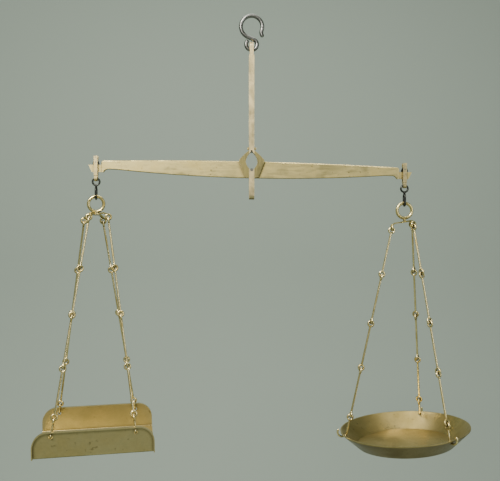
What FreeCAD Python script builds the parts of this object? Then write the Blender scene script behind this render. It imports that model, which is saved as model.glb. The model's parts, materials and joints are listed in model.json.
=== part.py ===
import FreeCAD, Part
import math
import os
import re
import Sketcher

# Hanging equal-arm brass scale. All lengths are millimetres, +Z is up and X runs along the beam.
# The origin is the point inside the top of the S hook that rests on whatever carries the scale.

Vector = FreeCAD.Vector
Rotation = FreeCAD.Rotation
Placement = FreeCAD.Placement
X_AXIS = Vector(1, 0, 0)
Y_AXIS = Vector(0, 1, 0)
Z_AXIS = Vector(0, 0, 1)
CUT_MARGIN = "5"           # trimming cuts run this far past the metal

DIMENSIONS = [
    # S hook, bent from steel wire
    ("hook_wire", 3.7, "wire diameter of the S hook"),
    ("bowl_radius", 10.2, "S hook bowl, to the middle of the wire"),
    ("waist_radius", 11.0, "bend from the bowl into the diagonal"),
    ("diagonal_length", 5.7, "straight part of the S hook's diagonal"),
    ("loop_radius", 5.2, "closed lower loop, to the middle of the wire"),
    ("hook_tip_radius", 6.0, "flare of the open tip"),
    # Shears: two flat cheeks that carry the beam between them
    ("shears_length", 96.5, "hook seat to fulcrum pin"),
    ("leg_width", 5.0, "width of the flat legs"),
    ("leg_thickness", 1.5, "thickness of the flat legs"),
    ("leg_gap", 4.6, "clear width between the two cheeks"),
    ("leg_tail", 41.8, "fulcrum pin to the start of the U bend"),
    ("head_width", 3.6, "width of the eye block along X"),
    ("head_above_seat", 7.7, "eye block above the hook seat"),
    ("head_shoulder", 5.2, "hook seat to the upper ends of the legs"),
    ("head_tongue", 8.2, "eye block below the upper ends of the legs"),
    ("shield_width", 24.4, "widest part of each cheek"),
    ("shield_foot", 12.4, "width of the cheek at its lower edge"),
    ("shield_shoulder", 8.0, "fulcrum pin down to the cheek's widest part"),
    ("shield_corner", 1.4, "depth of the cut corner at the widest part"),
    ("shield_top", 0.8, "fulcrum pin up to the start of the cheek's flare"),
    ("corner_cut", 0.5, "small cut corners of the cheek"),
    ("shield_depth", 24.5, "fulcrum pin to the cheek's lower edge"),
    ("eye_width", 11.2, "widest part of the pointed eye"),
    ("eye_drop", 9.8, "fulcrum pin down to the eye's widest part"),
    ("seat_lip", 1.1, "lips of the eye's foot beside the stop pin"),
    ("seat_lip_rise", 1.6, "stop pin up to the lips of the eye's foot"),
    # Pins
    ("fulcrum_pin_radius", 0.95, "steel pin that the beam hangs on"),
    ("stop_pin_radius", 1.5, "steel pin that stops the tilt"),
    ("stop_drop", 17.6, "fulcrum pin to stop pin"),
    ("pin_clearance", 0.12, "radial clearance of a pin that turns"),
    ("end_pin_radius", 0.65, "pins that carry the stirrups"),
    # Beam
    ("arm", 146.5, "fulcrum to end pivot, along the beam"),
    ("beam_thickness", 3.4, "beam, front to back"),
    ("beam_end_margin", 5.2, "end pivot back to the full beam's end face"),
    ("beam_top", 9.5, "fulcrum pin down to the beam's upper edge at its middle"),
    ("beam_top_fall", 2.5, "fall of the upper edge towards the ends"),
    ("beam_depth", 15.9, "depth of the beam at its middle"),
    ("crest_height", 3.9, "fulcrum pin up to the beam's crest"),
    ("crest_half_width", 4.4, "middle of the crest to its rounded ends"),
    ("crest_round", 1.2, "rounded ends of the crest"),
    ("hidden_inset", 0.2, "beam's middle kept inside the cheeks' outline"),
    ("shoulder_inset", 3.4, "beam's shoulder inside the cheek's widest part"),
    ("shoulder_drop", 7.4, "fulcrum pin down to the beam's shoulder"),
    ("edge_inset", 1.2, "start of the beam's upper edge inside the cheek"),
    ("end_round", 2.2, "rounded upper corner of the beam's end"),
    ("window_margin", 0.4, "beam's window outside the cheeks' eye"),
    ("window_land", 0.7, "straight sides under the window's crown"),
    ("window_bevel", 3.0, "cut lower corners of the window"),
    ("stop_room", 1.3, "foot of the window below the stop pin"),
    ("belly", 5.4, "rise of the lower edge towards the ends"),
    ("lip_length", 13.5, "level end of the lower edge, along the beam"),
    ("lip_depth", 2.9, "end lip below the lower edge"),
    ("lip_foot", 2.2, "flat foot of the end lip, along the beam"),
    ("lip_curve", 7.0, "beam end to the inner end of the lip's hollow"),
    ("lip_chamfer", 0.8, "cut outer corner of the end lip"),
    ("end_pin_drop", 13.7, "fulcrum pin down to the end pivots"),
    ("neck_thickness", 2.0, "thin neck under each stirrup"),
    ("neck_top", 2.4, "end pivot down to the neck's upper edge"),
    ("neck_depth", 6.7, "depth of the neck"),
    ("neck_root", 0.6, "neck let into the beam's end"),
    ("tip_length", 7.0, "end pivot out to the beam's pointed tip"),
    ("tip_foot", 3.9, "end pivot out to the lower corner of the tip"),
    ("bearing_width", 6.2, "steel bearing block along the beam"),
    ("bearing_height", 2.6, "steel bearing block above the end pivot"),
    ("bearing_bevel", 1.6, "sloped shoulders of the bearing block"),
    ("bearing_knee", 0.6, "end pivot down to the foot of the shoulders"),
    # Stirrups
    ("stirrup_width", 3.5, "upper part of the stirrup strap"),
    ("stirrup_foot_width", 3.0, "lower part of the stirrup strap"),
    ("stirrup_thickness", 1.2, "stirrup strap"),
    ("stirrup_gap", 3.2, "clear width between the stirrup's legs"),
    ("stirrup_top", 6.0, "end pivot up to the stirrup's top"),
    ("stirrup_step", 12.3, "end pivot down to the step in the strap"),
    ("step_run", 0.5, "height over which the strap steps in"),
    ("stirrup_eye_radius", 1.35, "inside of the stirrup's U bend"),
    ("stirrup_drop", 16.6, "end pivot down to the inside of the U bend"),
    # Twisted steel links and brass rings
    ("link_wire", 1.8, "wire of the twisted steel links"),
    ("link_loop_radius", 3.3, "round upper loop, to the middle of the wire"),
    ("link_oval_radius", 2.9, "end bends of the oval lower loop"),
    ("link_oval_straight", 5.4, "straight sides of the oval lower loop"),
    ("link_twist", 1.9, "twisted neck between the two loops"),
    ("link_neck_radius", 1.1, "twisted neck, taken as a round bar"),
    ("ring_radius", 7.1, "brass ring, to the middle of the wire"),
    ("ring_wire", 2.9, "wire of the brass ring"),
    ("contact_gap", 0.2, "gap between two wires that hang in each other"),
    # Spiders
    ("hub_radius", 3.6, "spider hub"),
    ("hub_thickness", 1.5, "spider hub"),
    ("hub_neck_radius", 1.3, "neck between ring and hub"),
    ("joint_overlap", 0.8, "how far joined pieces of a spider run together"),
    ("hub_neck", 1.4, "neck between ring and hub, on the pan's side"),
    ("tray_hub_neck", 0.2, "neck between ring and hub, on the tray's side"),
    ("spider_arm_width", 2.6, "flat spider arms"),
    ("spider_arm_thickness", 1.3, "flat spider arms"),
    ("pan_spider_radius", 12.0, "hub centre to an arm's eye, pan side"),
    ("tray_spider_radius", 13.0, "hub centre to an arm's eye, tray side"),
    ("pan_arm_knee", 9.4, "hub centre to the downward bend of an arm, pan side"),
    ("tray_arm_knee", 7.8, "hub centre to the downward bend of an arm, tray side"),
    ("pan_arm_drop", 55.0, "end pivot down to the first chain joint, pan side"),
    ("tray_arm_drop", 54.7, "end pivot down to the first chain joint, tray side"),
    # Chains of long wire links
    ("chain_wire", 1.9, "wire of the chain links"),
    ("eye_play", 0.55, "room for one link's wire inside another's eye, all round"),
    ("link_pitch", 45.6, "one chain joint to the next"),
    ("bend_radius", 4.4, "U bend of the pan hooks, to the middle of the wire"),
    ("tray_bend_radius", 4.0, "U bend of the tray hooks, to the middle of the wire"),
    # Round pan
    ("pan_rim_radius", 61.0, "outside of the rim"),
    ("pan_floor_radius", 46.0, "flat floor"),
    ("pan_depth", 15.0, "outside depth"),
    ("pan_sheet", 0.9, "brass sheet of the pan"),
    ("pan_rim_width", 1.3, "flat top of the rim"),
    ("pan_drop", 246.6, "end pivot down to the rim"),
    ("pan_hole_inset", 2.8, "rim in to the hook holes"),
    ("pan_hole_radius", 1.7, "holes that the pan's hooks pass through"),
    # Open-ended tray
    ("tray_length", 107.0, "along X"),
    ("tray_width", 80.0, "over the two walls"),
    ("tray_height", 23.8, "outside height of the walls"),
    ("tray_sheet", 0.981, "brass sheet of the tray"),
    ("tray_corner", 14.0, "rounded upper corners of the walls"),
    ("tray_fold_radius", 1.6, "outside of the folds between floor and walls"),
    ("tray_flange", 2.4, "turned-out edge of the walls"),
    ("flange_root", 0.3, "turned-out edge let into the wall"),
    ("tray_drop", 263.4, "end pivot down to the tray's underside"),
    ("tray_hole_x", 37.0, "hook holes from the middle, along X"),
    ("tray_hole_radius", 1.7, "holes that the tray's hooks pass through"),
    ("tray_hole_below", 5.3, "top of the wall down to the hook holes"),
    # Attitude at rest, degrees
    ("beam_tilt", 1.15, "right arm low"),
    ("pan_roll", 4.5, "left side of the pan low"),
    ("pan_spider_roll", 9.0, "left arm of the pan's spider low"),
    ("tray_yaw", 8.0, "left end of the tray forward"),
    ("tray_roll", 1.0, "left end of the tray low"),
    ("tray_pitch", 1.6, "rear wall of the tray high"),
    ("tray_spider_turn", -20.0, "front right arm of the tray's spider, round from +X"),
    ("tray_spider_pitch", 8.5, "rear of the tray's spider low"),
    ("tray_spider_roll", 4.5, "left side of the tray's spider low"),
]

doc = FreeCAD.newDocument("brass_scale")
sheet = doc.addObject("Spreadsheet::Sheet", "Dimensions")
for row, (alias, number, meaning) in enumerate(DIMENSIONS, start=1):
    sheet.set("A%d" % row, alias)
    sheet.set("B%d" % row, str(number))
    sheet.set("C%d" % row, meaning)
    sheet.setAlias("B%d" % row, alias)
doc.recompute()

ALIASES = {alias for alias, _, _ in DIMENSIONS}
sub_parts = []


def value(expression):
    """Number that an expression of sheet aliases gives."""
    return float(sheet.evalExpression(str(expression)))


def bind(obj, prop, expression):
    """Bind a property to an expression of sheet aliases."""
    def with_sheet(match):
        word = match.group(0)
        return "Dimensions." + word if word in ALIASES else word
    obj.setExpression(prop, re.sub(r"[a-z_]+", with_sheet, str(expression)))


def finish_part(obj, label, place=None):
    """Name a finished sub-part and put it in its place."""
    obj.Label = label
    if place is not None:
        obj.Placement = place
    sub_parts.append(obj)
    return obj


# ---------------------------------------------------------------- sketches and solids

def origin_plane(body, role):
    return [feature for feature in body.Origin.OriginFeatures if feature.Role == role]


def body_sketch(body, name, plane, offset=0.0):
    """Sketch on one of the body's own planes, moved along the plane's normal by offset."""
    sketch = body.newObject("Sketcher::SketchObject", name)
    sketch.AttachmentSupport = origin_plane(body, plane)
    sketch.MapMode = "FlatFace"
    sketch.AttachmentOffset = Placement(Vector(0, 0, offset), Rotation())
    return sketch


def arc_between(start, end, radius, side):
    """Minor arc from start to end; side +1 bulges to the left of the way, -1 to the right."""
    chord = end.sub(start)
    half = chord.Length / 2
    left = Vector(-chord.y, chord.x, 0).normalize()
    middle = start.add(end).multiply(0.5)
    depth = math.sqrt(max(radius * radius - half * half, 0.0))
    centre = middle.sub(Vector(left).multiply(side * depth))
    crown = centre.add(Vector(left).multiply(side * radius))
    return Part.Arc(start, crown, end)


def draw_outline(sketch, corners):
    """Closed outline through corners (x, y) or (x, y, radius, side), all expressions.

    A corner with a radius starts an arc to the next corner. Every corner and radius is a
    constraint bound to the sheet.
    """
    points = [Vector(value(corner[0]), value(corner[1]), 0) for corner in corners]
    count = len(corners)
    first = sketch.GeometryCount
    # Which end of each curve the outline enters and leaves by: arcs are stored
    # counter-clockwise, so an arc that bulges to the left is entered by its far end.
    ends = []
    for index, corner in enumerate(corners):
        start, end = points[index], points[(index + 1) % count]
        bulges_left = len(corner) == 4 and corner[3] > 0
        if len(corner) == 4:
            curve = arc_between(start, end, value(corner[2]), corner[3])
        else:
            curve = Part.LineSegment(start, end)
        sketch.addGeometry(curve, False)
        ends.append((2, 1) if bulges_left else (1, 2))
    for index, corner in enumerate(corners):
        following = (index + 1) % count
        sketch.addConstraint(Sketcher.Constraint(
            "Coincident", first + index, ends[index][1], first + following, ends[following][0]))
        for kind, expression, number in (("DistanceX", corner[0], points[index].x),
                                         ("DistanceY", corner[1], points[index].y)):
            constrain(sketch, (kind, -1, 1, first + index, ends[index][0], number), expression)
        if len(corner) == 4:
            constrain(sketch, ("Radius", first + index, value(corner[2])), corner[2])


def constrain(sketch, constraint, expression):
    """Add a size constraint that follows the sheet."""
    which = sketch.addConstraint(Sketcher.Constraint(*constraint))
    bind(sketch, "Constraints[%d]" % which, expression)


def mirrored(corners):
    """Right-hand corners from top to bottom, completed with their mirror image in X = 0.

    The first and last corners lie on the mirror line.
    """
    left = []
    for index in range(len(corners) - 1, 0, -1):
        corner, before = corners[index], corners[index - 1]
        x = "-(%s)" % corner[0]
        left.append((x, corner[1]) + tuple(before[2:]))
    return list(corners[:-1]) + left


def pad(body, sketch, length, symmetric=True):
    feature = body.newObject("PartDesign::Pad", sketch.Name + "_pad")
    feature.Profile = sketch
    feature.Midplane = symmetric
    bind(feature, "Length", length)
    return feature


def cut_through(body, sketch, length):
    """Pocket to both sides of its sketch."""
    feature = body.newObject("PartDesign::Pocket", sketch.Name + "_cut")
    feature.Profile = sketch
    feature.Midplane = True
    bind(feature, "Length", length)
    doc.recompute()
    if feature.Shape.Volume >= feature.BaseFeature.Shape.Volume - 1e-3:
        raise RuntimeError(feature.Name + " cuts nothing")
    return feature


def circle_hole(sketch, x, y, radius):
    which = sketch.addGeometry(
        Part.Circle(Vector(value(x), value(y), 0), Z_AXIS, value(radius)), False)
    for kind, expression in (("DistanceX", x), ("DistanceY", y)):
        constrain(sketch, (kind, -1, 1, which, 3, value(expression)), expression)
    constrain(sketch, ("Radius", which, value(radius)), radius)


def new_body(name):
    return doc.addObject("PartDesign::Body", name + "_body")


def cylinder(name, radius, height, place):
    obj = doc.addObject("Part::Cylinder", name)
    bind(obj, "Radius", radius)
    bind(obj, "Height", height)
    obj.Placement = place
    return obj


def torus(name, ring_radius, wire_radius, place, sweep=360):
    obj = doc.addObject("Part::Torus", name)
    bind(obj, "Radius1", ring_radius)
    bind(obj, "Radius2", wire_radius)
    obj.Angle3 = sweep
    obj.Placement = place
    return obj


def ball(name, radius, centre):
    obj = doc.addObject("Part::Sphere", name)
    bind(obj, "Radius", radius)
    obj.Placement = Placement(centre, Rotation())
    return obj


def fuse(name, pieces):
    obj = doc.addObject("Part::MultiFuse", name + "_solid")
    obj.Shapes = pieces
    obj.Refine = True
    return obj


def axes(x_way, z_way):
    """Rotation that turns the local X and Z axes to two square directions."""
    y_way = z_way.cross(x_way)
    return Rotation(x_way, y_way, z_way, "ZXY")


FACING_Y = Rotation(Z_AXIS, Y_AXIS)


class WirePath:
    """Plane path of tangent lines and arcs in a body's XZ plane, drawn like bending wire."""

    def __init__(self, start_x, start_z, heading):
        self.point = Vector(start_x, start_z, 0)
        self.heading = heading
        self.curves = []
        self.centre = None

    def way(self, turn=0.0):
        angle = math.radians(self.heading + turn)
        return Vector(math.cos(angle), math.sin(angle), 0)

    def line(self, length):
        end = self.point.add(self.way().multiply(length))
        self.curves.append(Part.LineSegment(self.point, end))
        self.point = end
        return self

    def arc(self, radius, turn):
        """Bend by turn degrees, counter-clockwise when positive."""
        side = 90.0 if turn > 0 else -90.0
        self.centre = self.point.add(self.way(side).multiply(radius))
        spots = []
        for share in (0.5, 1.0):
            out = self.way(turn * share - side).multiply(radius)
            spots.append(self.centre.add(out))
        self.curves.append(Part.Arc(self.point, spots[0], spots[1]))
        self.point = spots[1]
        self.heading += turn
        return self


def bent_wire(name, path, start, start_heading, wire_radius):
    """Round wire swept along a path whose sketch stands in the XZ plane."""
    spine = doc.addObject("Sketcher::SketchObject", name + "_path")
    spine.Placement = Placement(Vector(), Rotation(X_AXIS, 90))
    for curve in path.curves:
        spine.addGeometry(curve, False)
    profile = doc.addObject("Part::Circle", name + "_section")
    bind(profile, "Radius", wire_radius)
    angle = math.radians(start_heading)
    along = Vector(math.cos(angle), 0, math.sin(angle))
    profile.Placement = Placement(Vector(start[0], 0, start[1]), Rotation(Z_AXIS, along))
    doc.recompute()
    sweep = doc.addObject("Part::Sweep", name + "_sweep")
    sweep.Sections = [profile]
    edges = ["Edge%d" % (index + 1) for index in range(len(path.curves))]
    sweep.Spine = (spine, edges)
    sweep.Solid = True
    sweep.Frenet = False
    return sweep


# ---------------------------------------------------------------- S hook

HOOK_TIP_ANGLE = -20.0     # where the bowl ends and the tip flares out
HOOK_TIP_TURN = 48.0
BOWL_END_ANGLE = 190.0
DIAGONAL_HEADING = 338.0
LOOP_TURN = 280.0          # the loop stops just short of the diagonal


def make_s_hook():
    """Bent steel S: open bowl above, closed loop below. Returns the loop's seat height."""
    bowl = value("bowl_radius")
    wire = value("hook_wire")
    bowl_z = wire / 2 - bowl
    tip_heading = HOOK_TIP_ANGLE + 90 + HOOK_TIP_TURN
    # The bowl has to start at HOOK_TIP_ANGLE, so the tip's own start is worked back from there.
    trial = WirePath(0, 0, tip_heading).arc(value("hook_tip_radius"), -HOOK_TIP_TURN)
    angle = math.radians(HOOK_TIP_ANGLE)
    start_x = bowl * math.cos(angle) - trial.point.x
    start_z = bowl_z + bowl * math.sin(angle) - trial.point.y
    path = WirePath(start_x, start_z, tip_heading)
    path.arc(value("hook_tip_radius"), -HOOK_TIP_TURN)
    path.arc(bowl, BOWL_END_ANGLE - HOOK_TIP_ANGLE)
    path.arc(value("waist_radius"), DIAGONAL_HEADING - BOWL_END_ANGLE - 90)
    path.line(value("diagonal_length"))
    path.arc(value("loop_radius"), -LOOP_TURN)
    sweep = bent_wire("s_hook", path, (start_x, start_z), tip_heading, "hook_wire / 2")
    ends = [
        ball("s_hook_tip", "hook_wire / 2", Vector(start_x, 0, start_z)),
        ball("s_hook_end", "hook_wire / 2", Vector(path.point.x, 0, path.point.y)),
    ]
    finish_part(fuse("s_hook", [sweep] + ends), "s_hook")
    return Vector(path.centre.x, 0, path.centre.y - value("loop_radius"))


# ---------------------------------------------------------------- shears

# The wire of the hook's loop curves inside the head's hole, so the hole allows for the
# curve's rise across the head's width as well as for the clearance.
HEAD_HOLE = ("contact_gap + loop_radius"
             " - sqrt((loop_radius - hook_wire / 2) ^ 2 - head_width ^ 2 / 4)")


def make_shears(seat, fulcrum):
    """Eye block, two cheeks, U bend and the two fixed pins."""
    outer = "(leg_gap / 2 + leg_thickness)"

    head = new_body("shears_head")
    profile = body_sketch(head, "shears_head_profile", "YZ_Plane")
    round_z = "head_above_seat - %s" % outer
    draw_outline(profile, [
        ("-%s" % outer, round_z, outer, 1),
        ("0", "head_above_seat", outer, 1),
        (outer, round_z),
        (outer, "-head_shoulder"),
        ("leg_gap / 2", "-head_shoulder"),
        ("leg_gap / 2", "-head_shoulder - head_tongue"),
        ("-leg_gap / 2", "-head_shoulder - head_tongue"),
        ("-leg_gap / 2", "-head_shoulder"),
        ("-%s" % outer, "-head_shoulder"),
    ])
    pad(head, profile, "head_width")
    hole = body_sketch(head, "shears_head_hole", "YZ_Plane")
    circle_hole(hole, "0", "0", HEAD_HOLE)
    cut_through(head, hole, "head_width * 2")
    finish_part(head, "shears_head", Placement(seat, Rotation()))

    half_leg = "leg_width / 2"
    leg_top = "shears_length - head_shoulder"
    shield = [
        ("0", leg_top),
        (half_leg, leg_top),
        (half_leg, "shield_top", "shield_width * 2.5", 1),
        ("shield_width / 2 - corner_cut", "-shield_shoulder"),
        ("shield_width / 2", "-shield_shoulder - shield_corner"),
        ("shield_foot / 2", "-shield_depth"),
        (half_leg, "-shield_depth - corner_cut"),
        (half_leg, "-leg_tail"),
        ("0", "-leg_tail"),
    ]
    eye = [
        ("0", "0", "eye_width * 1.2", 1),
        ("eye_width / 2", "-eye_drop", "eye_width * 0.9", 1),
        ("stop_pin_radius + seat_lip", "-stop_drop + seat_lip_rise"),
        ("stop_pin_radius", "-stop_drop", "stop_pin_radius", 1),
        ("0", "-stop_drop - stop_pin_radius"),
    ]
    for side, label in ((-1, "shears_front_cheek"), (1, "shears_rear_cheek")):
        cheek = new_body(label)
        outline = body_sketch(cheek, label + "_outline", "XZ_Plane")
        draw_outline(outline, mirrored(shield))
        pad(cheek, outline, "leg_thickness")
        opening = body_sketch(cheek, label + "_eye", "XZ_Plane")
        draw_outline(opening, mirrored(eye))
        cut_through(cheek, opening, "leg_thickness * 2")
        pin_hole = body_sketch(cheek, label + "_pin_hole", "XZ_Plane")
        circle_hole(pin_hole, "0", "0", "fulcrum_pin_radius")
        cut_through(cheek, pin_hole, "leg_thickness * 2")
        depth = side * value("leg_gap / 2 + leg_thickness / 2")
        finish_part(cheek, label, Placement(fulcrum.add(Vector(0, depth, 0)), Rotation()))

    yoke = new_body("shears_yoke")
    bend = body_sketch(yoke, "shears_yoke_bend", "YZ_Plane")
    draw_outline(bend, [
        (outer, "0", outer, 1),
        ("0", "-" + outer, outer, 1),
        ("-" + outer, "0"),
        ("-leg_gap / 2", "0", "leg_gap / 2", -1),
        ("0", "-leg_gap / 2", "leg_gap / 2", -1),
        ("leg_gap / 2", "0"),
    ])
    pad(yoke, bend, "leg_width")
    foot = fulcrum.sub(Vector(0, 0, value("leg_tail")))
    finish_part(yoke, "shears_yoke", Placement(foot, Rotation()))

    length = "leg_gap + 2 * leg_thickness"
    for label, radius, drop in (("fulcrum_pin", "fulcrum_pin_radius", "0"),
                                ("stop_pin", "stop_pin_radius", "stop_drop")):
        start = fulcrum.add(Vector(0, -value(length) / 2, -value(drop)))
        finish_part(cylinder(label, radius, length, Placement(start, FACING_Y)), label)


# ---------------------------------------------------------------- beam

LONG_EDGE = 60.0           # edges of the beam longer than this are rounded
EDGE_ROUND = 0.6


def make_beam(fulcrum, tilt):
    """Flat beam with an arched, pierced middle, thin necks and pointed tips."""
    beam = new_body("beam")
    full_end = "arm - beam_end_margin"
    waist = "arm - beam_end_margin - lip_length"
    under = "-beam_top - beam_depth"
    crest_foot = "crest_height - 2 * crest_round"
    side = [
        ("0", "crest_height"),
        ("crest_half_width - crest_round", "crest_height", "crest_round", 1),
        ("crest_half_width", "crest_height - crest_round", "crest_round", 1),
        ("crest_half_width - crest_round", crest_foot),
        ("leg_width / 2 - hidden_inset", crest_foot),
        ("leg_width / 2 - hidden_inset", "hidden_inset", "shield_width * 0.9", -1),
        ("shield_width / 2 - shoulder_inset", "-shoulder_drop"),
        ("shield_width / 2 - edge_inset", "-beam_top",
         "((%s) ^ 2 + beam_top_fall ^ 2) / (2 * beam_top_fall)" % full_end, 1),
        (full_end + " - end_round", "-beam_top - beam_top_fall", "end_round", 1),
        (full_end, "-beam_top - beam_top_fall - end_round"),
        (full_end, under + " + belly - lip_depth + lip_chamfer"),
        (full_end + " - lip_chamfer", under + " + belly - lip_depth"),
        (full_end + " - lip_foot", under + " + belly - lip_depth", "lip_curve - lip_foot", -1),
        (full_end + " - lip_curve", under + " + belly"),
        (waist, under + " + belly", "((%s) ^ 2 + belly ^ 2) / (2 * belly)" % waist, 1),
        ("0", under),
    ]
    outline = body_sketch(beam, "beam_outline", "XZ_Plane")
    draw_outline(outline, mirrored(side))
    plate = pad(beam, outline, "beam_thickness")
    doc.recompute()
    round_long_edges(beam, plate, "beam_edge_round", value("beam_thickness") / 2)

    window = body_sketch(beam, "beam_window", "XZ_Plane")
    crown = "fulcrum_pin_radius + pin_clearance"
    half_gap = "eye_width / 2 + window_margin"
    draw_outline(window, window_corners(crown, half_gap))
    cut_through(beam, window, "beam_thickness * 2")

    for way, label in ((-1, "left"), (1, "right")):
        neck = body_sketch(beam, "beam_neck_" + label, "XZ_Plane")
        root = "%d * (%s - neck_root)" % (way, full_end)
        top = "-end_pin_drop - neck_top"
        draw_outline(neck, [
            (root, top),
            ("%d * (arm + tip_length)" % way, top),
            ("%d * (arm + tip_foot)" % way, top + " - neck_depth"),
            (root, top + " - neck_depth"),
        ])
        pad(beam, neck, "neck_thickness")
    finish_part(beam, "beam", Placement(fulcrum, tilt))

    for way, label in ((-1, "left"), (1, "right")):
        name = "end_bearing_" + label
        bearing = new_body(name)
        block = body_sketch(bearing, name + "_block", "XZ_Plane")
        draw_outline(block, mirrored([
            ("0", "bearing_height"),
            ("bearing_width / 2 - bearing_bevel", "bearing_height"),
            ("bearing_width / 2", "-bearing_knee"),
            ("bearing_width / 2", "-neck_top"),
            ("0", "-neck_top"),
        ]))
        pad(bearing, block, "neck_thickness")
        bore = body_sketch(bearing, name + "_bore", "XZ_Plane")
        circle_hole(bore, "0", "0", "end_pin_radius + pin_clearance / 2")
        cut_through(bearing, bore, "neck_thickness * 2")
        finish_part(bearing, name, Placement(end_pivot(fulcrum, tilt, way), tilt))


def window_corners(crown, half_gap):
    """Pointed window that hangs on the fulcrum pin and swings clear of the stop pin."""
    return mirrored([
        ("0", crown, crown, 1),
        (crown, "0"),
        (crown, "-window_land", "eye_width * 1.3", 1),
        (half_gap, "-eye_drop"),
        (half_gap, "-stop_drop"),
        (half_gap + " - window_bevel", "-stop_drop - stop_pin_radius - stop_room"),
        ("0", "-stop_drop - stop_pin_radius - stop_room"),
    ])


def round_long_edges(body, base, name, half_thickness):
    """Small round on the outline edges of the front and back faces."""
    edges = []
    for index, edge in enumerate(base.Shape.Edges, start=1):
        flat = all(abs(abs(vertex.Point.y) - half_thickness) < 1e-6 for vertex in edge.Vertexes)
        if flat and edge.Length > LONG_EDGE:
            edges.append("Edge%d" % index)
    feature = body.newObject("PartDesign::Fillet", name)
    feature.Base = (base, edges)
    feature.Radius = EDGE_ROUND
    doc.recompute()


def end_pivot(fulcrum, tilt, way):
    """Centre of the left (-1) or right (+1) end pivot."""
    offset = Vector(way * value("arm"), 0, -value("end_pin_drop"))
    return fulcrum.add(tilt.multVec(offset))


# ---------------------------------------------------------------- stirrup, link, ring and spider

def make_stirrup(pivot, label):
    """U strap that hangs on the end pivot, and its pin."""
    name = "stirrup_" + label
    strap = new_body(name)
    profile = body_sketch(strap, name + "_profile", "YZ_Plane")
    wide = "(stirrup_gap / 2)"
    narrow = "stirrup_eye_radius"
    skin = "stirrup_thickness"
    bend_z = "-stirrup_drop + stirrup_eye_radius"
    draw_outline(profile, [
        ("%s + %s" % (wide, skin), "stirrup_top"),
        ("%s + %s" % (wide, skin), "-stirrup_step"),
        ("%s + %s" % (narrow, skin), "-stirrup_step - step_run"),
        ("%s + %s" % (narrow, skin), bend_z, "%s + %s" % (narrow, skin), 1),
        ("0", "-stirrup_drop - stirrup_thickness", "%s + %s" % (narrow, skin), 1),
        ("-(%s + %s)" % (narrow, skin), bend_z),
        ("-(%s + %s)" % (narrow, skin), "-stirrup_step - step_run"),
        ("-(%s + %s)" % (wide, skin), "-stirrup_step"),
        ("-(%s + %s)" % (wide, skin), "stirrup_top"),
        ("-" + wide, "stirrup_top"),
        ("-" + wide, "-stirrup_step + step_run"),
        ("-" + narrow, "-stirrup_step"),
        ("-" + narrow, bend_z, narrow, -1),
        ("0", "-stirrup_drop", narrow, -1),
        (narrow, bend_z),
        (narrow, "-stirrup_step"),
        (wide, "-stirrup_step + step_run"),
        (wide, "stirrup_top"),
    ])
    pad(strap, profile, "stirrup_width")
    trim = body_sketch(strap, name + "_trim", "XZ_Plane")
    for way in (-1, 1):
        outside = "%d * (stirrup_width)" % way
        inside = "%d * (stirrup_foot_width / 2)" % way
        shoulder = "%d * (stirrup_width / 2)" % way
        draw_outline(trim, [
            (outside, "-stirrup_step + step_run"),
            (shoulder, "-stirrup_step + step_run"),
            (inside, "-stirrup_step - step_run"),
            (inside, "-stirrup_drop - " + CUT_MARGIN),
            (outside, "-stirrup_drop - " + CUT_MARGIN),
        ])
    cut_through(strap, trim, "stirrup_gap * 4")
    bore = body_sketch(strap, name + "_bore", "XZ_Plane")
    circle_hole(bore, "0", "0", "end_pin_radius")
    cut_through(strap, bore, "stirrup_gap * 4")
    finish_part(strap, name, Placement(pivot, Rotation()))
    length = "stirrup_gap + 2 * stirrup_thickness"
    start = pivot.sub(Vector(0, value(length) / 2, 0))
    pin = cylinder("pivot_pin_" + label, "end_pin_radius", length, Placement(start, FACING_Y))
    finish_part(pin, "pivot_pin_" + label)


def link_seat_drop():
    """End pivot down to the middle of the wire that lies in the stirrup."""
    inside = value("link_loop_radius - link_wire / 2")
    reach = math.sqrt(inside ** 2 - value("stirrup_foot_width") ** 2 / 4)
    return value("stirrup_drop - contact_gap - link_loop_radius") + reach


def oval_drop():
    """End pivot down to the wire middle at the bottom of the link's oval loop."""
    return link_seat_drop() + value(
        "2 * link_loop_radius + link_twist + 2 * link_oval_radius + link_oval_straight")


def ring_top_drop():
    """End pivot down to the wire middle at the top of the brass ring."""
    return oval_drop() - value("link_wire / 2 + ring_wire / 2 + contact_gap")


def make_twisted_link(pivot, label):
    """Steel wire link: round loop in the XZ plane, oval loop square to it."""
    name = "twisted_link_" + label
    wire = "link_wire / 2"
    top = pivot.z - link_seat_drop()
    centre = top - value("link_loop_radius")
    neck_top = centre - value("link_loop_radius")
    bend_top = neck_top - value("link_twist + link_oval_radius")
    bend_low = bend_top - value("link_oval_straight")
    at = (lambda y, z: Vector(pivot.x, y, z))
    pieces = [
        torus(name + "_loop", "link_loop_radius", wire, Placement(at(0, centre), FACING_Y)),
        cylinder(name + "_neck", "link_neck_radius", "link_twist",
                 Placement(at(0, neck_top - value("link_twist")), Rotation())),
        torus(name + "_crown", "link_oval_radius", wire,
              Placement(at(0, bend_top), axes(Y_AXIS, X_AXIS)), 180),
        torus(name + "_base", "link_oval_radius", wire,
              Placement(at(0, bend_low), axes(Y_AXIS.negative(), X_AXIS)), 180),
    ]
    for way in (-1, 1):
        low = at(way * value("link_oval_radius"), bend_low)
        pieces.append(cylinder("%s_side_%d" % (name, way + 1), wire, "link_oval_straight",
                               Placement(low, Rotation())))
    finish_part(fuse(name, pieces), name)


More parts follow.
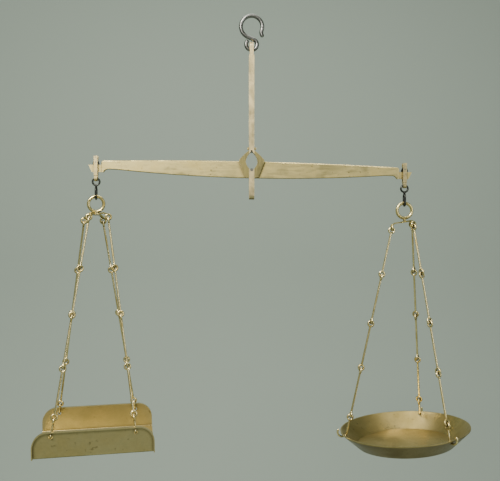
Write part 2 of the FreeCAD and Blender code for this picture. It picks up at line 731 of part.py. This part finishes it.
def make_spider(pivot, label, turn, lean, arm_eyes, facings, neck, knee_out):
    """Brass ring, hub and arms, each arm ending in an upright eye.

    arm_eyes are the first chain joints as offsets from the end pivot, and facings the level
    ways that their eyes face. turn is the ring's rotation about Z, lean the hub's tilt and
    knee_out the distance from the hub's centre to the bend in each arm.
    """
    name = label + "_spider"
    ring_top = ring_top_drop()
    ring_z = pivot.z - ring_top - value("ring_radius")
    ring_low = ring_z - value("ring_radius")
    hub_top = ring_low - value("ring_wire / 2") - value(neck)
    at = (lambda z: Vector(pivot.x, 0, z))
    hub_place = Placement(at(hub_top - value("hub_thickness")), lean)
    pieces = [
        torus(name + "_ring", "ring_radius", "ring_wire / 2",
              Placement(at(ring_z), turn.multiply(FACING_Y))),
        cylinder(name + "_neck", "hub_neck_radius", "%s + ring_wire / 2 + joint_overlap" % neck,
                 Placement(at(hub_top - value("joint_overlap")), Rotation())),
        cylinder(name + "_hub", "hub_radius", "hub_thickness", hub_place),
    ]
    eye = value(EYE)
    for number, (joint, facing) in enumerate(zip(arm_eyes, facings), start=1):
        out = Vector(joint.x, joint.y, 0)
        out.normalize()
        # The first link's wire lies in the lower bend of the arm's eye, square to it.
        wire_low = pivot.add(joint).z - value("chain_wire / 2 + contact_gap / 2")
        eye_centre = Vector(pivot.x + joint.x, joint.y, wire_low + eye)
        pieces.append(torus("%s_eye_%d" % (name, number), EYE, "chain_wire / 2",
                            Placement(eye_centre, Rotation(Z_AXIS, facing))))
        root = at(hub_top - value("hub_thickness") / 2)
        knee = root.add(lean.multVec(out.multiply(value(knee_out))))
        top_of_eye = eye_centre.add(Vector(0, 0, eye))
        for part, start, end in (("root", root, knee), ("fall", knee, top_of_eye)):
            pieces.append(flat_bar("%s_%s_%d" % (name, part, number), start, end))
    finish_part(fuse(name, pieces), name)


def flat_bar(name, start, end):
    """Flat strip between two points, its width level and square to its run."""
    run = end.sub(start)
    length = run.Length
    run.normalize()
    level = Z_AXIS.cross(run)
    level.normalize()
    obj = doc.addObject("Part::Box", name)
    obj.Length = length + value("spider_arm_thickness") / 2
    bind(obj, "Width", "spider_arm_width")
    bind(obj, "Height", "spider_arm_thickness")
    turn = axes(run, run.cross(level))
    shift = turn.multVec(Vector(0, -value("spider_arm_width") / 2,
                                -value("spider_arm_thickness") / 2))
    obj.Placement = Placement(start.add(shift), turn)
    return obj


# ---------------------------------------------------------------- chains

LINKS_PER_CHAIN = 4
EYE = "(chain_wire + eye_play)"     # eyes, to the middle of the wire
# Degrees of bend: before the wire crosses the wall, and in the whole hook.
PAN_BENDS = (50.0, 196.0)
TRAY_BENDS = (84.0, 150.0)


def make_link(name, place, plane_turn):
    """Long wire link with a closed eye at each end, hanging from its origin along -Z."""
    half_gap = "(chain_wire / 2 + contact_gap / 2)"
    top_eye = value("%s - %s" % (half_gap, EYE))
    low_eye = value("-link_pitch - %s + %s" % (half_gap, EYE))
    facing = plane_turn.multiply(FACING_Y)
    shank_low = Vector(0, 0, low_eye + value(EYE))
    pieces = [
        torus(name + "_top", EYE, "chain_wire / 2",
              Placement(Vector(0, 0, top_eye), facing)),
        torus(name + "_low", EYE, "chain_wire / 2",
              Placement(Vector(0, 0, low_eye), facing)),
        cylinder(name + "_shank", "chain_wire / 2",
                 "link_pitch + 2 * %s - 4 * %s" % (half_gap, EYE),
                 Placement(shank_low, Rotation())),
    ]
    finish_part(fuse(name, pieces), name, place)


def make_chain(label, top, hole, outward, radius, bends):
    """Four links and a hook from a spider's eye to a hole.

    The hook's shank is in line with the links and bends outward through the hole. bends
    gives the degrees of bend before the wire crosses the wall, and in the whole hook.
    """
    crossing, whole = bends
    beside = radius * (1 - math.cos(math.radians(crossing)))
    below = radius * math.sin(math.radians(crossing))
    down = hole.sub(top)
    # The shank's foot lies beside and above the hole, measured along the chain's own lean.
    for _ in range(12):
        down.normalize()
        across = outward.sub(Vector(down).multiply(outward.dot(down)))
        across.normalize()
        foot = hole.sub(Vector(across).multiply(beside)).sub(Vector(down).multiply(below))
        down = foot.sub(top)
    length = down.Length
    down.normalize()
    turn = axes(across, down.negative())
    pitch = value("link_pitch")
    for number in range(LINKS_PER_CHAIN):
        joint = top.add(Vector(down).multiply(number * pitch))
        plane_turn = Rotation(Z_AXIS, 90 * (number % 2))
        make_link("%s_link_%d" % (label, number + 1), Placement(joint, turn), plane_turn)
    joint = top.add(Vector(down).multiply(LINKS_PER_CHAIN * pitch))
    make_chain_hook(label + "_hook", length - LINKS_PER_CHAIN * pitch, radius, whole,
                    Placement(joint, turn))


def make_chain_hook(name, drop, radius, bend, place):
    """Eye, straight shank and U bend, hanging from its origin along -Z."""
    eye_z = value("chain_wire / 2 + contact_gap / 2 - " + EYE)
    start_z = eye_z - value(EYE)
    path = WirePath(0, start_z, -90)
    path.line(drop + start_z)
    path.arc(radius, bend)
    sweep = bent_wire(name, path, (0, start_z), -90, "chain_wire / 2")
    pieces = [
        torus(name + "_eye", EYE, "chain_wire / 2",
              Placement(Vector(0, 0, eye_z), FACING_Y)),
        sweep,
        ball(name + "_end", "chain_wire / 2", Vector(path.point.x, 0, path.point.y)),
    ]
    finish_part(fuse(name, pieces), name, place)


# ---------------------------------------------------------------- pan and tray

# Chain, then the degrees round from +X of its hole in the pan and of its spider arm.
PAN_CHAINS = (("pan_left", 180.0, 180.0), ("pan_front", -60.0, -60.0),
              ("pan_rear", 60.0, 38.0))


# The pan's wall slopes from the underside's edge to the rim's. The hook holes are square to it.
PAN_WALL_RISE = "(pan_depth - pan_sheet) / (pan_rim_radius - pan_floor_radius)"
PAN_HOLE_HEIGHT = "pan_depth - pan_sheet / 2 - pan_hole_inset * " + PAN_WALL_RISE
# Step in from the underside's edge to the floor's, which keeps the sheet even round the bend.
PAN_CORNER_STEP = "pan_sheet * (sqrt(1 + (%s) ^ 2) - 1) / (%s)" % (PAN_WALL_RISE, PAN_WALL_RISE)


def make_pan(place):
    """Round pan: flat floor, sloping wall and three hook holes."""
    pan = new_body("pan")
    section = body_sketch(pan, "pan_section", "XZ_Plane")
    draw_outline(section, [
        ("0", "0"),
        ("pan_floor_radius", "0"),
        ("pan_rim_radius", "pan_depth - pan_sheet"),
        ("pan_rim_radius", "pan_depth"),
        ("pan_rim_radius - pan_rim_width", "pan_depth"),
        ("pan_floor_radius - " + PAN_CORNER_STEP, "pan_sheet"),
        ("0", "pan_sheet"),
    ])
    turned = pan.newObject("PartDesign::Revolution", "pan_turned")
    turned.Profile = section
    turned.ReferenceAxis = (section, ["V_Axis"])
    turned.Angle = 360
    doc.recompute()
    square_on = 90 - math.degrees(math.atan(value(PAN_WALL_RISE)))
    holes = body_sketch(pan, "pan_hole", "YZ_Plane")
    holes.AttachmentOffset = Placement(
        Vector(0, value(PAN_HOLE_HEIGHT), value("pan_rim_radius - pan_hole_inset")),
        Rotation(X_AXIS, square_on))
    circle_hole(holes, "0", "0", "pan_hole_radius")
    hole = pan.newObject("PartDesign::Pocket", "pan_hole_cut")
    hole.Profile = holes
    hole.Midplane = True
    bind(hole, "Length", "pan_sheet * 6")
    doc.recompute()
    if hole.Shape.Volume >= turned.Shape.Volume - 1e-3:
        raise RuntimeError("the pan's hole cuts nothing")
    pattern = pan.newObject("PartDesign::PolarPattern", "pan_holes")
    pattern.Originals = [hole]
    pattern.Axis = (section, ["V_Axis"])
    pattern.Angle = 360
    pattern.Occurrences = 3
    pan.Tip = pattern
    # The first hole is on +X; half a turn puts it on the left.
    finish_part(pan, "pan", place.multiply(Placement(Vector(), Rotation(Z_AXIS, 180))))


def make_tray(place):
    """Folded tray, open at both ends, its walls with rounded, turned-out edges."""
    tray = new_body("tray")
    fold = body_sketch(tray, "tray_fold", "YZ_Plane")
    inside = "(tray_fold_radius - tray_sheet)"
    draw_outline(fold, [
        ("-tray_width / 2", "tray_height"),
        ("-tray_width / 2", "tray_fold_radius", "tray_fold_radius", -1),
        ("-tray_width / 2 + tray_fold_radius", "0"),
        ("tray_width / 2 - tray_fold_radius", "0", "tray_fold_radius", -1),
        ("tray_width / 2", "tray_fold_radius"),
        ("tray_width / 2", "tray_height"),
        ("tray_width / 2 - tray_sheet", "tray_height"),
        ("tray_width / 2 - tray_sheet", "tray_fold_radius", inside, 1),
        ("tray_width / 2 - tray_fold_radius", "tray_sheet"),
        ("-tray_width / 2 + tray_fold_radius", "tray_sheet", inside, 1),
        ("-tray_width / 2 + tray_sheet", "tray_fold_radius"),
        ("-tray_width / 2 + tray_sheet", "tray_height"),
    ])
    pad(tray, fold, "tray_length")
    for way, label in ((-1, "left"), (1, "right")):
        corner = body_sketch(tray, "tray_corner_" + label, "XZ_Plane")
        end = "%d * (tray_length / 2)" % way
        past = "%d * (tray_length / 2 + %s)" % (way, CUT_MARGIN)
        start = "%d * (tray_length / 2 - tray_corner)" % way
        draw_outline(corner, [
            (start, "tray_height", "tray_corner", way),
            (end, "tray_height - tray_corner"),
            (past, "tray_height - tray_corner"),
            (past, "tray_height + " + CUT_MARGIN),
            (start, "tray_height + " + CUT_MARGIN),
        ])
        cut_through(tray, corner, "tray_width * 2")
    edge = body_sketch(tray, "tray_edge", "XZ_Plane", value("tray_width / 2 - flange_root"))
    outer = "tray_corner"
    inner = "tray_corner - tray_sheet"
    half = "tray_length / 2"
    draw_outline(edge, [
        ("-" + half, "0"),
        ("-" + half, "tray_height - tray_corner", outer, 1),
        ("-%s + tray_corner" % half, "tray_height"),
        ("%s - tray_corner" % half, "tray_height", outer, 1),
        (half, "tray_height - tray_corner"),
        (half, "0"),
        (half + " - tray_sheet", "0"),
        (half + " - tray_sheet", "tray_height - tray_corner", inner, -1),
        ("%s - tray_corner" % half, "tray_height - tray_sheet"),
        ("-%s + tray_corner" % half, "tray_height - tray_sheet", inner, -1),
        ("-%s + tray_sheet" % half, "tray_height - tray_corner"),
        ("-%s + tray_sheet" % half, "0"),
    ])
    flange = pad(tray, edge, "tray_flange + flange_root", symmetric=False)
    doc.recompute()
    other_side = tray.newObject("PartDesign::Mirrored", "tray_edges")
    other_side.Originals = [flange]
    other_side.MirrorPlane = (origin_plane(tray, "XZ_Plane")[0], [""])
    tray.Tip = other_side
    doc.recompute()
    for way, label in ((-1, "left"), (1, "right")):
        holes = body_sketch(tray, "tray_hole_" + label, "XZ_Plane")
        circle_hole(holes, "%d * tray_hole_x" % way, "tray_height - tray_hole_below",
                    "tray_hole_radius")
        cut_through(tray, holes, "tray_width * 2")
    finish_part(tray, "tray", place)


# ---------------------------------------------------------------- assembly at rest

def hang_pan(pivot):
    """Stirrup, link, spider, three chains and the round pan on the right arm."""
    make_stirrup(pivot, "right")
    make_twisted_link(pivot, "right")
    lean = Rotation(Y_AXIS, -value("pan_spider_roll"))
    joints = []
    for _, _, angle in PAN_CHAINS:
        spoke = Rotation(Z_AXIS, angle).multVec(Vector(value("pan_spider_radius"), 0, 0))
        joints.append(Vector(spoke.x, spoke.y, lean.multVec(spoke).z - value("pan_arm_drop")))
    facings = [Rotation(Z_AXIS, angle).multVec(X_AXIS) for _, angle, _ in PAN_CHAINS]
    make_spider(pivot, "pan", Rotation(), lean, joints, facings, "hub_neck", "pan_arm_knee")
    rim = pivot.sub(Vector(0, 0, value("pan_drop")))
    roll = Rotation(Y_AXIS, -value("pan_roll"))
    place = Placement(rim, roll).multiply(Placement(Vector(0, 0, -value("pan_depth")), Rotation()))
    make_pan(place)
    for (label, _, _), joint, outward in zip(PAN_CHAINS, joints, facings):
        spot = Vector(outward).multiply(value("pan_rim_radius - pan_hole_inset"))
        spot.z = value(PAN_HOLE_HEIGHT)
        make_chain(label, pivot.add(joint), place.multVec(spot), outward,
                   value("bend_radius"), PAN_BENDS)


# Chain, its hole's side along and across the tray, and its arm's quarter turns round the hub.
TRAY_CHAINS = (("tray_front_left", -1, -1, 3), ("tray_front_right", 1, -1, 0),
               ("tray_rear_left", -1, 1, 2), ("tray_rear_right", 1, 1, 1))


def hang_tray(pivot):
    """Stirrup, link, spider, four chains and the tray on the left arm."""
    make_stirrup(pivot, "left")
    make_twisted_link(pivot, "left")
    yaw = Rotation(Z_AXIS, value("tray_yaw"))
    lean = Rotation(X_AXIS, -value("tray_spider_pitch"))
    lean = lean.multiply(Rotation(Y_AXIS, -value("tray_spider_roll")))
    joints = []
    for _, _, _, quarter in TRAY_CHAINS:
        angle = value("tray_spider_turn") + 90 * quarter
        spoke = Rotation(Z_AXIS, angle).multVec(Vector(value("tray_spider_radius"), 0, 0))
        joints.append(Vector(spoke.x, spoke.y, lean.multVec(spoke).z - value("tray_arm_drop")))
    facings = [yaw.multVec(Vector(0, across, 0)) for _, _, across, _ in TRAY_CHAINS]
    make_spider(pivot, "tray", yaw, lean, joints, facings, "tray_hub_neck", "tray_arm_knee")
    attitude = yaw.multiply(Rotation(Y_AXIS, -value("tray_roll")))
    attitude = attitude.multiply(Rotation(X_AXIS, value("tray_pitch")))
    place = Placement(pivot.sub(Vector(0, 0, value("tray_drop"))), attitude)
    make_tray(place)
    for (label, along, across, _), joint, outward in zip(TRAY_CHAINS, joints, facings):
        wall = across * value("tray_width / 2 - tray_sheet / 2")
        spot = Vector(along * value("tray_hole_x"), wall, value("tray_height - tray_hole_below"))
        make_chain(label, pivot.add(joint), place.multVec(spot), outward,
                   value("tray_bend_radius"), TRAY_BENDS)


def export_parts():
    """Check every object, then write one STEP file for each sub-part."""
    doc.recompute()
    for obj in doc.Objects:
        if "Invalid" in obj.State or "Error" in obj.State:
            raise RuntimeError("%s failed: %s" % (obj.Label, obj.State))
    for part in sub_parts:
        shape = part.Shape
        if shape.isNull() or not shape.isValid():
            raise RuntimeError(part.Label + " has no valid shape")
    os.makedirs("parts", exist_ok=True)
    for part in sub_parts:
        part.Shape.exportStep("parts/%s.step" % part.Label)
    print("%d sub-parts written" % len(sub_parts))


hook_seat = make_s_hook()
fulcrum_point = hook_seat.sub(Vector(0, 0, value("shears_length")))
beam_turn = Rotation(Y_AXIS, value("beam_tilt"))
make_shears(hook_seat, fulcrum_point)
make_beam(fulcrum_point, beam_turn)
hang_pan(end_pivot(fulcrum_point, beam_turn, 1))
hang_tray(end_pivot(fulcrum_point, beam_turn, -1))
export_parts()
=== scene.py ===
import json
import math

import bpy
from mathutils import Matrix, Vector


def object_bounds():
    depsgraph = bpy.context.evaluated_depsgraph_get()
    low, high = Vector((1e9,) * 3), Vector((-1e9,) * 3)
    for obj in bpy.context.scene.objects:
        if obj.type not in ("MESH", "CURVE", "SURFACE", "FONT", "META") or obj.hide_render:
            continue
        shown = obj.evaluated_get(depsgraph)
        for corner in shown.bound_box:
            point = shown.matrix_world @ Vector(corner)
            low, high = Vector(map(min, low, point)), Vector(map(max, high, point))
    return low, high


# A brass weighing scale that hangs from a steel S hook. Lengths are metres, in the CAD frame.

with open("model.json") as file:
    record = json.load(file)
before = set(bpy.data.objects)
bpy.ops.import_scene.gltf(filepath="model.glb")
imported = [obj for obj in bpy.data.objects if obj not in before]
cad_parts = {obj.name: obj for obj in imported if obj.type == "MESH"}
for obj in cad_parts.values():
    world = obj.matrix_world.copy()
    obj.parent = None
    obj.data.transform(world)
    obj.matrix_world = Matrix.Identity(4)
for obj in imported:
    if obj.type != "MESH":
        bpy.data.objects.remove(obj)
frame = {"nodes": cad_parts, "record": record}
cad_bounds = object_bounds()
nodes = frame["nodes"]
slot_of = {part["node"]: part["material_slot"] for part in frame["record"]["subparts"]}

MM = 0.001


# ---------------------------------------------------------------- material helpers

HOLLOW_SAMPLES = 8
EDGE_SAMPLES = 6


class Shader:
    """Node tree of one material, with short calls for the nodes that the finishes use."""

    def __init__(self, name, metallic, roughness):
        self.material = bpy.data.materials.new(name)
        self.material.use_nodes = True
        self.tree = self.material.node_tree
        self.surface = self.tree.nodes["Principled BSDF"]
        self.surface.inputs["Metallic"].default_value = metallic
        self.surface.inputs["Roughness"].default_value = roughness
        self.place = self.tree.nodes.new("ShaderNodeTexCoord").outputs["Object"]

    def link(self, source, target):
        self.tree.links.new(source, target)

    def stretched(self, scale):
        """Object coordinates, scaled differently along each axis."""
        node = self.tree.nodes.new("ShaderNodeMapping")
        node.inputs["Scale"].default_value = scale
        self.link(self.place, node.inputs["Vector"])
        return node.outputs["Vector"]

    def noise(self, scale, detail=4.0, roughness=0.55, distortion=0.0, coordinates=None):
        node = self.tree.nodes.new("ShaderNodeTexNoise")
        node.inputs["Scale"].default_value = scale
        node.inputs["Detail"].default_value = detail
        node.inputs["Roughness"].default_value = roughness
        node.inputs["Distortion"].default_value = distortion
        self.link(coordinates or self.place, node.inputs["Vector"])
        return node.outputs["Fac"]

    def span(self, value, low, high, out_low=0.0, out_high=1.0):
        """Map low..high of a value to out_low..out_high, clamped."""
        node = self.tree.nodes.new("ShaderNodeMapRange")
        node.inputs["From Min"].default_value = low
        node.inputs["From Max"].default_value = high
        node.inputs["To Min"].default_value = out_low
        node.inputs["To Max"].default_value = out_high
        self.link(value, node.inputs["Value"])
        return node.outputs["Result"]

    def math(self, operation, first, second):
        node = self.tree.nodes.new("ShaderNodeMath")
        node.operation = operation
        for socket, value in zip(node.inputs, (first, second)):
            if isinstance(value, (int, float)):
                socket.default_value = value
            else:
                self.link(value, socket)
        return node.outputs[0]

    def blend(self, amount, first, second):
        """Mix two colours. Each is a colour or a socket."""
        node = self.tree.nodes.new("ShaderNodeMix")
        node.data_type = "RGBA"
        for socket, value in ((node.inputs["Factor"], amount), (node.inputs[6], first),
                              (node.inputs[7], second)):
            if isinstance(value, (int, float)):
                socket.default_value = value
            elif isinstance(value, tuple):
                socket.default_value = value + (1.0,)
            else:
                self.link(value, socket)
        return node.outputs[2]

    def hollows(self, distance):
        """0 in corners and gaps, 1 on open surfaces."""
        node = self.tree.nodes.new("ShaderNodeAmbientOcclusion")
        node.inputs["Distance"].default_value = distance
        node.samples = HOLLOW_SAMPLES
        return node.outputs["AO"]

    def sharp_edges(self, radius):
        """1 on sharp edges, 0 on open surfaces."""
        bevel = self.tree.nodes.new("ShaderNodeBevel")
        bevel.inputs["Radius"].default_value = radius
        bevel.samples = EDGE_SAMPLES
        compare = self.tree.nodes.new("ShaderNodeVectorMath")
        compare.operation = "DOT_PRODUCT"
        self.link(bevel.outputs["Normal"], compare.inputs[0])
        self.link(self.geometry("Normal"), compare.inputs[1])
        return self.span(compare.outputs["Value"], 0.93, 0.80)

    def geometry(self, output):
        return self.tree.nodes.new("ShaderNodeNewGeometry").outputs[output]

    def part_of(self, vector, axis):
        """X, Y or Z of a vector."""
        node = self.tree.nodes.new("ShaderNodeSeparateXYZ")
        self.link(vector, node.inputs[0])
        return node.outputs[axis]

    def facing_down(self):
        """0 on surfaces that face up or sideways, 1 underneath."""
        return self.span(self.part_of(self.geometry("Normal"), "Z"), -0.15, -0.75)

    def bump(self, height, distance, strength=1.0):
        node = self.tree.nodes.new("ShaderNodeBump")
        node.inputs["Distance"].default_value = distance
        node.inputs["Strength"].default_value = strength
        self.link(height, node.inputs["Height"])
        self.link(node.outputs["Normal"], self.surface.inputs["Normal"])

    def colour(self, socket):
        self.link(socket, self.surface.inputs["Base Color"])

    def roughness(self, socket):
        self.link(socket, self.surface.inputs["Roughness"])


EDGE_HIGHLIGHT_BRASS = (0.97, 0.83, 0.46)      # painted highlight on sharp edges
BRASS_HOLLOW = 3.5 * MM              # reach of the painted shade in corners and gaps
BRASS_EDGE = 0.5 * MM                # width of the painted edge highlight
RUBBING_SCALE = 900.0                # fine marks of rubbing, per metre
STEEL_PATCH_SCALE = 220.0
RUST_SCALE = 420.0
STEEL_HOLLOW = 2.0 * MM
HIGHLIGHT_STRIP_FADE_OUT = 0.2 * MM            # soft border of the painted highlight strip
HIGHLIGHT_STRIP_FADE_IN = 0.1 * MM
BRASS_RELIEF = 0.06 * MM
STEEL_RELIEF = 0.08 * MM


def brass(name, bright, dull, stain_and_shade, patch_scale, patina, roughness, grain=(1.0, 1.0, 1.0),
          highlight_strip=None):
    """Aged brass: bright and dull metal in soft patches, brown stain spots, painted shade in
    hollows and underneath, painted highlight on sharp edges.

    patina is the share of the surface that is dull, and grain stretches the fine rubbing marks.
    The last argument is (middle x, half width, colour) of a painted highlight strip along Z, or
    None.
    """
    shader = Shader(name, metallic=1.0, roughness=roughness)
    patches = shader.noise(patch_scale, detail=5.0, roughness=0.6, distortion=0.6)
    dulled = shader.span(patches, 0.62 - 0.35 * patina, 0.72 - 0.15 * patina)
    metal = shader.blend(dulled, bright, dull)
    # Painted highlight: a brighter strip along Z, down the middle of the part.
    if highlight_strip is not None:
        middle, half_width, highlight_colour = highlight_strip
        beside = shader.math("SUBTRACT", shader.part_of(shader.place, "X"), middle)
        aside = shader.math("ABSOLUTE", beside, 0.0)
        on_highlight_strip = shader.span(aside, half_width + HIGHLIGHT_STRIP_FADE_OUT, half_width - HIGHLIGHT_STRIP_FADE_IN)
        metal = shader.blend(on_highlight_strip, metal, highlight_colour)
    rubbing = shader.noise(RUBBING_SCALE, detail=3.0, coordinates=shader.stretched(grain))
    metal = shader.blend(shader.span(rubbing, 0.35, 0.65, 0.0, 0.35), metal, dull)
    spots = shader.noise(patch_scale * 9.0, detail=2.0)
    spotted = shader.span(spots, 0.66, 0.74, 0.0, 0.55)
    metal = shader.blend(spotted, metal, stain_and_shade)
    # Painted shade: corners and gaps are darkened towards the stain colour.
    corner = shader.span(shader.hollows(BRASS_HOLLOW), 0.45, 0.95, 0.8, 0.0)
    metal = shader.blend(corner, metal, stain_and_shade)
    # Painted shade: surfaces that face down are darkened towards the stain colour.
    metal = shader.blend(shader.math("MULTIPLY", shader.facing_down(), 0.75), metal, stain_and_shade)
    # Painted highlight: sharp edges are painted a brighter brass.
    edges = shader.math("MULTIPLY", shader.sharp_edges(BRASS_EDGE), 0.75)
    shader.colour(shader.blend(edges, metal, EDGE_HIGHLIGHT_BRASS))
    worn = shader.math("ADD", shader.span(patches, 0.35, 0.7, -0.06, 0.10),
                       shader.span(rubbing, 0.3, 0.7, -0.05, 0.07))
    shader.roughness(shader.math("ADD", worn, roughness))
    relief = shader.math("ADD", shader.math("MULTIPLY", patches, 0.6),
                         shader.math("MULTIPLY", rubbing, 0.12))
    shader.bump(relief, BRASS_RELIEF, 0.6)
    return shader.material


def steel(name, bright, dull, rust_and_shade, roughness, rust_share):
    """Worn steel, darker and rougher where it has rusted, with painted shade in corners and
    gaps.
    """
    shader = Shader(name, metallic=1.0, roughness=roughness)
    patches = shader.noise(STEEL_PATCH_SCALE, detail=6.0, roughness=0.65, distortion=0.4)
    metal = shader.blend(shader.span(patches, 0.38, 0.62), bright, dull)
    rust_spots = shader.noise(RUST_SCALE, detail=5.0)
    rusted = shader.span(rust_spots, 0.66 - rust_share, 0.78 - rust_share)
    metal = shader.blend(rusted, metal, rust_and_shade)
    # Painted shade: corners and gaps are darkened towards the rust colour.
    corner = shader.span(shader.hollows(STEEL_HOLLOW), 0.4, 0.95, 0.7, 0.0)
    shader.colour(shader.blend(corner, metal, rust_and_shade))
    shader.roughness(shader.span(patches, 0.3, 0.7, roughness - 0.08, roughness + 0.15))
    shader.bump(patches, STEEL_RELIEF, 0.7)
    return shader.material


# ---------------------------------------------------------------- finishes, one per record slot

def middle_x(node_name):
    """Middle of a node along X, in the node's own coordinates."""
    across = [corner[0] for corner in nodes[node_name].bound_box]
    return (min(across) + max(across)) / 2


LEG_HALF_WIDTH = 2.5 * MM
# Painted highlight: a brighter strip down the middle of the shears legs.
leg_highlight_strip = (middle_x("shears_front_cheek"), LEG_HALF_WIDTH, (0.90, 0.73, 0.40))
finishes = {
    "dark_steel": steel("aged dark steel", (0.085, 0.088, 0.078), (0.030, 0.032, 0.028),
                        (0.030, 0.020, 0.012), 0.38, 0.06),
    "pin_steel": steel("worn pin steel", (0.42, 0.41, 0.37), (0.20, 0.19, 0.16),
                       (0.06, 0.045, 0.025), 0.30, 0.02),
    "shears_brass": brass("shears brass", (0.50, 0.42, 0.19), (0.34, 0.285, 0.11),
                          (0.07, 0.05, 0.015), 55.0, 0.6, 0.36, (1.0, 1.0, 0.15), leg_highlight_strip),
    "beam_brass": brass("beam brass", (0.74, 0.61, 0.27), (0.58, 0.47, 0.18),
                        (0.16, 0.11, 0.035), 38.0, 0.35, 0.40, (0.12, 1.0, 1.0)),
    "stirrup_brass": brass("stirrup brass", (0.90, 0.73, 0.38), (0.64, 0.50, 0.20),
                           (0.12, 0.085, 0.025), 70.0, 0.35, 0.34),
    "spider_brass": brass("spider brass", (0.92, 0.77, 0.34), (0.48, 0.37, 0.11),
                          (0.08, 0.055, 0.012), 70.0, 0.4, 0.26),
    "chain_brass": brass("chain brass", (0.95, 0.81, 0.42), (0.58, 0.45, 0.16),
                         (0.08, 0.055, 0.014), 60.0, 0.4, 0.26),
    "tray_brass": brass("tray brass", (0.60, 0.50, 0.245), (0.44, 0.365, 0.155),
                        (0.15, 0.115, 0.04), 26.0, 0.55, 0.38, (0.3, 1.0, 1.0)),
    "pan_brass": brass("pan brass", (0.52, 0.41, 0.165), (0.31, 0.24, 0.08),
                       (0.085, 0.058, 0.014), 24.0, 0.5, 0.34),
}
hook_steel = steel("bent hook steel", (0.27, 0.27, 0.25), (0.12, 0.12, 0.11),
                   (0.05, 0.035, 0.02), 0.30, 0.02)
for node_name, node in nodes.items():
    node.data.materials.clear()
    finish = hook_steel if node_name == "s_hook" else finishes[slot_of[node_name]]
    node.data.materials.append(finish)


# ---------------------------------------------------------------- floor, lights and camera

PAPER_COLOUR = (0.355, 0.415, 0.36)
PAPER_UNEVENNESS = 1.04
BACKDROP_HALF_WIDTH = 2.2
BACKDROP_STEPS = 24


def plain_finish(name, colour, roughness):
    """Finish of the floor and backdrop, with a faint unevenness."""
    shader = Shader(name, metallic=0.0, roughness=roughness)
    uneven = shader.noise(3.0, detail=2.0)
    lighter = tuple(min(1.0, channel * PAPER_UNEVENNESS) for channel in colour)
    shader.colour(shader.blend(uneven, colour, lighter))
    return shader.material


def make_backdrop(level, front, back, height, bend):
    """Floor that curves up into a wall behind the object."""
    profile = [(front, level)]
    for step in range(BACKDROP_STEPS + 1):
        angle = math.radians(90.0 * step / BACKDROP_STEPS)
        profile.append((back - bend + bend * math.sin(angle),
                        level + bend - bend * math.cos(angle)))
    profile.append((back, level + height))
    vertices = [(side * BACKDROP_HALF_WIDTH, y, z) for y, z in profile for side in (-1, 1)]
    faces = [(2 * i, 2 * i + 1, 2 * i + 3, 2 * i + 2) for i in range(len(profile) - 1)]
    mesh = bpy.data.meshes.new("backdrop")
    mesh.from_pydata(vertices, [], faces)
    for polygon in mesh.polygons:
        polygon.use_smooth = True
    mesh.materials.append(plain_finish("pale paper", PAPER_COLOUR, 0.85))
    backdrop = bpy.data.objects.new("backdrop", mesh)
    bpy.context.scene.collection.objects.link(backdrop)


def area_light(name, place, target, width, height, power, colour):
    data = bpy.data.lights.new(name, "AREA")
    data.shape = "RECTANGLE"
    data.size = width
    data.size_y = height
    data.energy = power
    data.color = colour
    light = bpy.data.objects.new(name, data)
    light.location = place
    light.rotation_euler = (Vector(target) - Vector(place)).to_track_quat("-Z", "Y").to_euler()
    bpy.context.scene.collection.objects.link(light)


low = cad_bounds[0][2]
centre = (0.0, 0.0, low * 0.5)
make_backdrop(level=low - 0.45, front=-1.4, back=1.1, height=2.6, bend=0.6)
area_light("key", (-0.50, -1.05, 0.60), centre, 0.5, 0.5, 30.0, (1.0, 0.97, 0.91))
area_light("fill", (0.85, -0.85, -0.05), centre, 0.35, 0.8, 4.0, (0.97, 0.98, 1.0))
area_light("top", (0.0, 0.15, 0.75), centre, 0.9, 0.5, 8.0, (1.0, 0.98, 0.95))

world = bpy.data.worlds.new("soft room")
world.use_nodes = True
world.node_tree.nodes["Background"].inputs["Color"].default_value = (0.58, 0.68, 0.58, 1.0)
world.node_tree.nodes["Background"].inputs["Strength"].default_value = 0.30
bpy.context.scene.world = world

# A level camera a little to the left of the object's middle.
VIEW_TURN = math.radians(1.79)
AIM = Vector((-1.52, 0.0, -211.5)) * MM
RANGE = 659.6 * MM
ahead = Vector((math.sin(VIEW_TURN), math.cos(VIEW_TURN), 0.0))
camera_data = bpy.data.cameras.new("camera")
camera_data.lens = 50.0
camera_data.sensor_width = 36.0
camera = bpy.data.objects.new("camera", camera_data)
camera.location = AIM - ahead * RANGE
camera.rotation_euler = ahead.to_track_quat("-Z", "Y").to_euler()
bpy.context.scene.collection.objects.link(camera)
bpy.context.scene.camera = camera
